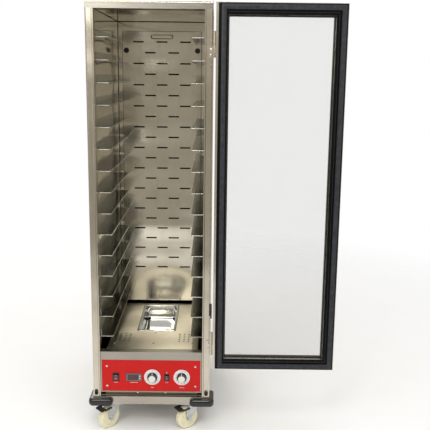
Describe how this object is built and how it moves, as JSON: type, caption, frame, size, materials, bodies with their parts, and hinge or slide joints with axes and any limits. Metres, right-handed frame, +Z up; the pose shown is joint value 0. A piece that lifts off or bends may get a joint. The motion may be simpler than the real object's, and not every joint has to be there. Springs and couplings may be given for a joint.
{
  "type": "proofing cabinet",
  "caption": "Tall insulated proofing cabinet on casters, with tray slides, a water pan, a heated and humidified air module in its foot, and a glass door swung open.",
  "frame": {"origin": "on the floor, under the middle of the cabinet's body", "axes": "+X to the right seen from the front, +Y to the back, +Z up; the door is swung open by half a turn, to the right"},
  "size_m": [1.0295, 0.8003, 1.813],
  "materials": {
    "steel_skin": "satin stainless sheet",
    "lining_steel": "bright stainless sheet",
    "slide_steel": "bright stainless sheet, folded",
    "hidden_steel": "plain sheet steel",
    "pan_steel": "polished, pressed stainless",
    "screw_steel": "plated",
    "red_paint": "smooth gloss paint",
    "zinc": "zinc plated",
    "handle_steel": "polished",
    "rubber": "semi-gloss",
    "gasket_grey": "soft",
    "plastic_black": "fine grain",
    "knob_black": "gloss",
    "switch_black": "gloss",
    "bezel_grey": "satin",
    "window_dark": "clear gloss over a dark display",
    "dial_white": "smooth",
    "nylon": "smooth moulded nylon",
    "glass": "clear",
    "wool": "mineral wool",
    "block_ivory": "moulded",
    "alloy": "bare"
  },
  "bodies": {
    "cabinet": {"base_plate": "hidden_steel", "base_beams": "steel_skin", "left_outer_panel": "steel_skin", "right_outer_panel": "steel_skin", "back_panel": "steel_skin", "top_panel": "steel_skin", "top_cap": "steel_skin", "front_posts": "steel_skin", "rear_posts": "hidden_steel", "left_liner": "lining_steel", "right_liner": "lining_steel", "back_liner": "lining_steel", "ceiling_liner": "lining_steel", "insulation": "wool", "left_tray_slides": "slide_steel", "right_tray_slides": "slide_steel", "duct_panel": "lining_steel", "duct_plugs": "plastic_black", "front_floor_plate": "lining_steel", "rear_floor_plate": "lining_steel", "fascia": "steel_skin", "control_panel": "red_paint", "cover_screws": "screw_steel", "switch_housings": "plastic_black", "display_bezel": "bezel_grey", "display_window": "window_dark", "dial_plates": "dial_white", "module_case": "hidden_steel", "water_heater": "hidden_steel", "air_heater": "hidden_steel", "blower_housing": "hidden_steel", "thermostats": "hidden_steel", "terminal_block": "block_ivory", "cord_gland": "plastic_black", "hinge_brackets": "steel_skin", "door_stop": "rubber", "corner_bumpers": "rubber", "caster_plates": "zinc"},
    "door": {"door_frame": "steel_skin", "door_glass": "glass", "door_gasket": "gasket_grey", "glazing_bead": "plastic_black", "door_hinge_leaves": "steel_skin", "door_handle": "handle_steel"},
    "power_rocker": {"power_rocker": "switch_black"},
    "mode_rocker": {"mode_rocker": "switch_black"},
    "temperature_knob": {"temperature_knob": "knob_black"},
    "humidity_knob": {"humidity_knob": "knob_black"},
    "water_pan": {"water_pan": "pan_steel"},
    "blower_wheel": {"blower_wheel": "alloy"},
    "front_left_fork": {"front_left_fork": "zinc"},
    "front_left_wheel": {"front_left_wheel": "nylon"},
    "front_left_pedal": {"front_left_pedal": "plastic_black"},
    "front_right_fork": {"front_right_fork": "zinc"},
    "front_right_wheel": {"front_right_wheel": "nylon"},
    "front_right_pedal": {"front_right_pedal": "plastic_black"},
    "rear_left_fork": {"rear_left_fork": "zinc"},
    "rear_left_wheel": {"rear_left_wheel": "nylon"},
    "rear_right_fork": {"rear_right_fork": "zinc"},
    "rear_right_wheel": {"rear_right_wheel": "nylon"}
  },
  "joints": [
    {"name": "door_swing", "type": "hinge", "parent": "cabinet", "child": "door", "pos_m": [0.2555, -0.3903, 1.06], "axis": [0, 0, 1], "range_deg": [-180, 75]},
    {"name": "power_rock", "type": "hinge", "parent": "cabinet", "child": "power_rocker", "pos_m": [-0.151, -0.341, 0.244], "axis": [1, 0, 0], "range_deg": [-14, 0]},
    {"name": "mode_rock", "type": "hinge", "parent": "cabinet", "child": "mode_rocker", "pos_m": [0.067, -0.341, 0.244], "axis": [1, 0, 0], "range_deg": [-14, 0]},
    {"name": "temperature_turn", "type": "hinge", "parent": "cabinet", "child": "temperature_knob", "pos_m": [0.005, -0.357, 0.244], "axis": [0, 1, 0], "range_deg": [0, 300]},
    {"name": "humidity_turn", "type": "hinge", "parent": "cabinet", "child": "humidity_knob", "pos_m": [0.131, -0.357, 0.244], "axis": [0, 1, 0], "range_deg": [0, 300]},
    {"name": "pan_lift", "type": "slide", "parent": "cabinet", "child": "water_pan", "axis": [0, 0, 1], "range_m": [0, 0.25]},
    {"name": "blower_spin", "type": "hinge", "parent": "cabinet", "child": "blower_wheel", "pos_m": [0, 0.245, 0.2285], "axis": [1, 0, 0], "continuous": true},
    {"name": "front_left_swivel", "type": "hinge", "parent": "cabinet", "child": "front_left_fork", "pos_m": [-0.172, -0.307, 0.11], "axis": [0, 0, 1], "continuous": true},
    {"name": "front_left_roll", "type": "hinge", "parent": "front_left_fork", "child": "front_left_wheel", "pos_m": [-0.18867, -0.32426, 0.05], "axis": [0.7193, -0.6947, 0], "continuous": true},
    {"name": "front_left_brake", "type": "hinge", "parent": "front_left_fork", "child": "front_left_pedal", "pos_m": [-0.19006, -0.3257, 0.097], "axis": [0.7193, -0.6947, 0], "range_deg": [-10, 0]},
    {"name": "front_right_swivel", "type": "hinge", "parent": "cabinet", "child": "front_right_fork", "pos_m": [0.172, -0.307, 0.11], "axis": [0, 0, 1], "continuous": true},
    {"name": "front_right_roll", "type": "hinge", "parent": "front_right_fork", "child": "front_right_wheel", "pos_m": [0.15258, -0.32111, 0.05], "axis": [0.5878, -0.809, 0], "continuous": true},
    {"name": "front_right_brake", "type": "hinge", "parent": "front_right_fork", "child": "front_right_pedal", "pos_m": [0.15097, -0.32228, 0.097], "axis": [0.5878, -0.809, 0], "range_deg": [-10, 0]},
    {"name": "rear_left_swivel", "type": "hinge", "parent": "cabinet", "child": "rear_left_fork", "pos_m": [-0.172, 0.307, 0.11], "axis": [0, 0, 1], "continuous": true},
    {"name": "rear_left_roll", "type": "hinge", "parent": "rear_left_fork", "child": "rear_left_wheel", "pos_m": [-0.18472, 0.28665, 0.05], "axis": [0.848, -0.5299, 0], "continuous": true},
    {"name": "rear_right_swivel", "type": "hinge", "parent": "cabinet", "child": "rear_right_fork", "pos_m": [0.172, 0.307, 0.11], "axis": [0, 0, 1], "continuous": true},
    {"name": "rear_right_roll", "type": "hinge", "parent": "rear_right_fork", "child": "rear_right_wheel", "pos_m": [0.15081, 0.29573, 0.05], "axis": [0.4695, -0.8829, 0], "continuous": true}
  ]
}
